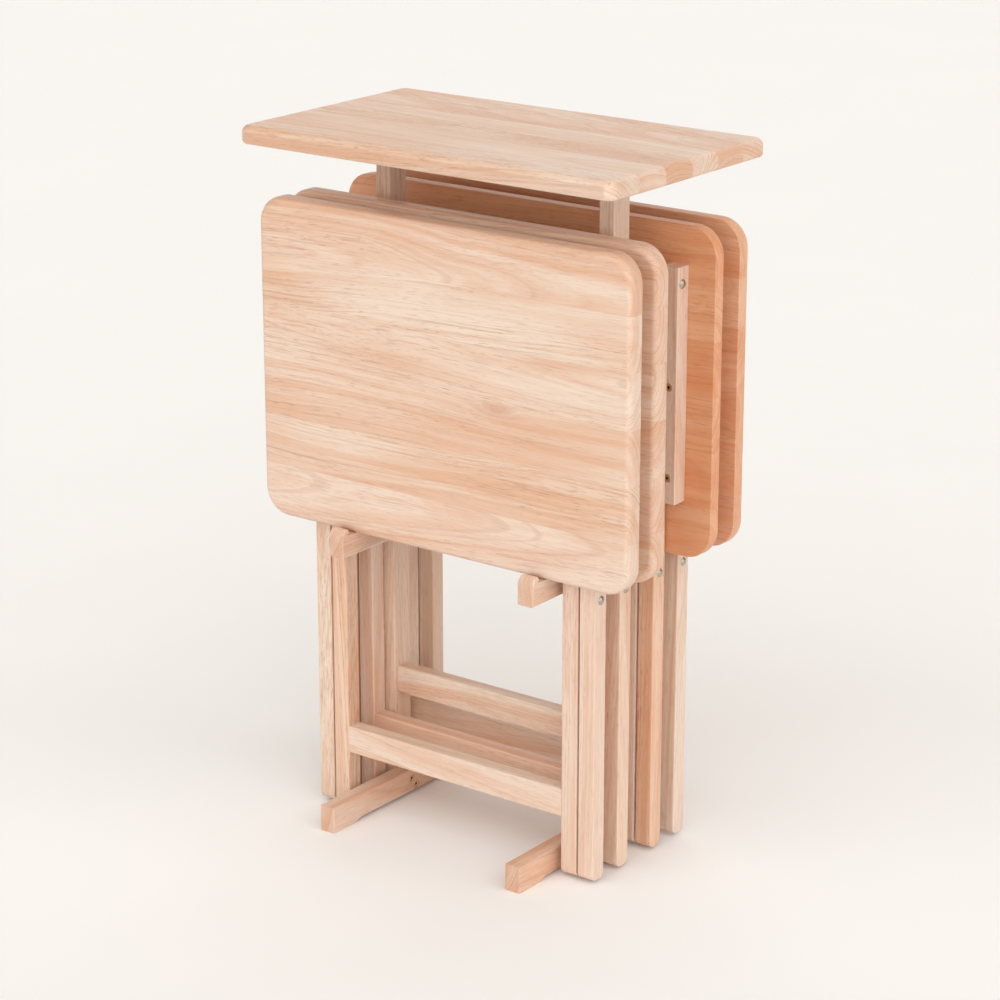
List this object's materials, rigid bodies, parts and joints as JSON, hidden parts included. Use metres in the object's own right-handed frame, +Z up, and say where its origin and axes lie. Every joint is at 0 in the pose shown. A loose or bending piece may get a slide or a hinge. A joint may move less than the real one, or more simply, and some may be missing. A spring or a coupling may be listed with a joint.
{
  "type": "folding tray table set",
  "caption": "Folding wooden tray tables hung flat on a carrying stand with notched side arms, foot bars and a rounded top board.",
  "frame": {"origin": "floor level under the middle of the stand", "axes": "X along the trays, from left to right seen from the front; Y from front to back; Z up"},
  "size_m": [0.483, 0.294, 0.772],
  "materials": {
    "board_wood": "satin lacquer",
    "tray_wood": "satin lacquer",
    "leg_wood": "satin lacquer",
    "stand_wood": "satin lacquer",
    "rail_wood": "satin lacquer",
    "bolt_steel": "polished nickel plate",
    "screw_steel": "yellow zinc plate"
  },
  "bodies": {
    "stand": {"arm_left": "stand_wood", "arm_right": "stand_wood", "foot_left": "stand_wood", "foot_right": "stand_wood", "post_left": "stand_wood", "post_right": "stand_wood", "stand_dowels": "rail_wood", "stand_screws": "screw_steel", "stand_stretcher": "stand_wood", "top_board": "board_wood"},
    "outer_legs_1": {"outer_leg_left_1": "leg_wood", "outer_leg_right_1": "leg_wood", "pivot_bolts_1": "bolt_steel"},
    "inner_legs_1": {"inner_leg_left_1": "leg_wood", "inner_leg_right_1": "leg_wood", "inner_rail_1": "rail_wood", "inner_stretcher_1": "leg_wood"},
    "tray_1": {"batten_left_1": "leg_wood", "batten_right_1": "leg_wood", "catch_blocks_1": "rail_wood", "tray_screws_1": "screw_steel", "tray_top_1": "tray_wood"},
    "outer_legs_2": {"outer_leg_left_2": "leg_wood", "outer_leg_right_2": "leg_wood", "pivot_bolts_2": "bolt_steel"},
    "inner_legs_2": {"inner_leg_left_2": "leg_wood", "inner_leg_right_2": "leg_wood", "inner_rail_2": "rail_wood", "inner_stretcher_2": "leg_wood"},
    "tray_2": {"batten_left_2": "leg_wood", "batten_right_2": "leg_wood", "catch_blocks_2": "rail_wood", "tray_screws_2": "screw_steel", "tray_top_2": "tray_wood"},
    "outer_legs_3": {"outer_leg_left_3": "leg_wood", "outer_leg_right_3": "leg_wood", "pivot_bolts_3": "bolt_steel"},
    "inner_legs_3": {"inner_leg_left_3": "leg_wood", "inner_leg_right_3": "leg_wood", "inner_rail_3": "rail_wood", "inner_stretcher_3": "leg_wood"},
    "tray_3": {"batten_left_3": "leg_wood", "batten_right_3": "leg_wood", "catch_blocks_3": "rail_wood", "tray_screws_3": "screw_steel", "tray_top_3": "tray_wood"},
    "outer_legs_4": {"outer_leg_left_4": "leg_wood", "outer_leg_right_4": "leg_wood", "pivot_bolts_4": "bolt_steel"},
    "inner_legs_4": {"inner_leg_left_4": "leg_wood", "inner_leg_right_4": "leg_wood", "inner_rail_4": "rail_wood", "inner_stretcher_4": "leg_wood"},
    "tray_4": {"batten_left_4": "leg_wood", "batten_right_4": "leg_wood", "catch_blocks_4": "rail_wood", "tray_screws_4": "screw_steel", "tray_top_4": "tray_wood"}
  },
  "joints": [
    {"name": "lift_off_1", "type": "slide", "parent": "stand", "child": "outer_legs_1", "axis": [0, -0.829, 0.5592], "range_m": [0, 1.75]},
    {"name": "tray_swing_1", "type": "hinge", "parent": "outer_legs_1", "child": "tray_1", "pos_m": [0, -0.076, 0.634], "axis": [-1, 0, 0], "range_deg": [0, 95]},
    {"name": "leg_spread_1", "type": "hinge", "parent": "outer_legs_1", "child": "inner_legs_1", "pos_m": [0, -0.076, 0.318], "axis": [1, 0, 0], "range_deg": [0, 7.6]},
    {"name": "lift_off_2", "type": "slide", "parent": "stand", "child": "outer_legs_2", "axis": [0, -0.891, 0.454], "range_m": [0, 0.875]},
    {"name": "tray_swing_2", "type": "hinge", "parent": "outer_legs_2", "child": "tray_2", "pos_m": [0, -0.031, 0.634], "axis": [-1, 0, 0], "range_deg": [0, 75]},
    {"name": "leg_spread_2", "type": "hinge", "parent": "outer_legs_2", "child": "inner_legs_2", "pos_m": [0, -0.031, 0.318], "axis": [1, 0, 0], "range_deg": [0, 6]},
    {"name": "lift_off_4", "type": "slide", "parent": "stand", "child": "outer_legs_4", "axis": [0, 0.829, 0.5592], "range_m": [0, 1.75]},
    {"name": "tray_swing_4", "type": "hinge", "parent": "outer_legs_4", "child": "tray_4", "pos_m": [0, 0.076, 0.634], "axis": [1, 0, 0], "range_deg": [0, 95]},
    {"name": "leg_spread_4", "type": "hinge", "parent": "outer_legs_4", "child": "inner_legs_4", "pos_m": [0, 0.076, 0.318], "axis": [-1, 0, 0], "range_deg": [0, 7.6]},
    {"name": "lift_off_3", "type": "slide", "parent": "stand", "child": "outer_legs_3", "axis": [0, 0.891, 0.454], "range_m": [0, 0.875]},
    {"name": "tray_swing_3", "type": "hinge", "parent": "outer_legs_3", "child": "tray_3", "pos_m": [0, 0.031, 0.634], "axis": [1, 0, 0], "range_deg": [0, 75]},
    {"name": "leg_spread_3", "type": "hinge", "parent": "outer_legs_3", "child": "inner_legs_3", "pos_m": [0, 0.031, 0.318], "axis": [-1, 0, 0], "range_deg": [0, 6]}
  ],
  "couplings": [
    {"joint": "tray_swing_1", "follows": "lift_off_1", "rad_per_m": 0.94746},
    {"joint": "leg_spread_1", "follows": "lift_off_1", "rad_per_m": 0.075797},
    {"joint": "lift_off_2", "follows": "lift_off_1", "ratio": 0.5},
    {"joint": "tray_swing_2", "follows": "lift_off_1", "rad_per_m": 0.748},
    {"joint": "leg_spread_2", "follows": "lift_off_1", "rad_per_m": 0.05984},
    {"joint": "tray_swing_4", "follows": "lift_off_4", "rad_per_m": 0.94746},
    {"joint": "leg_spread_4", "follows": "lift_off_4", "rad_per_m": 0.075797},
    {"joint": "lift_off_3", "follows": "lift_off_4", "ratio": 0.5},
    {"joint": "tray_swing_3", "follows": "lift_off_4", "rad_per_m": 0.748},
    {"joint": "leg_spread_3", "follows": "lift_off_4", "rad_per_m": 0.05984}
  ]
}
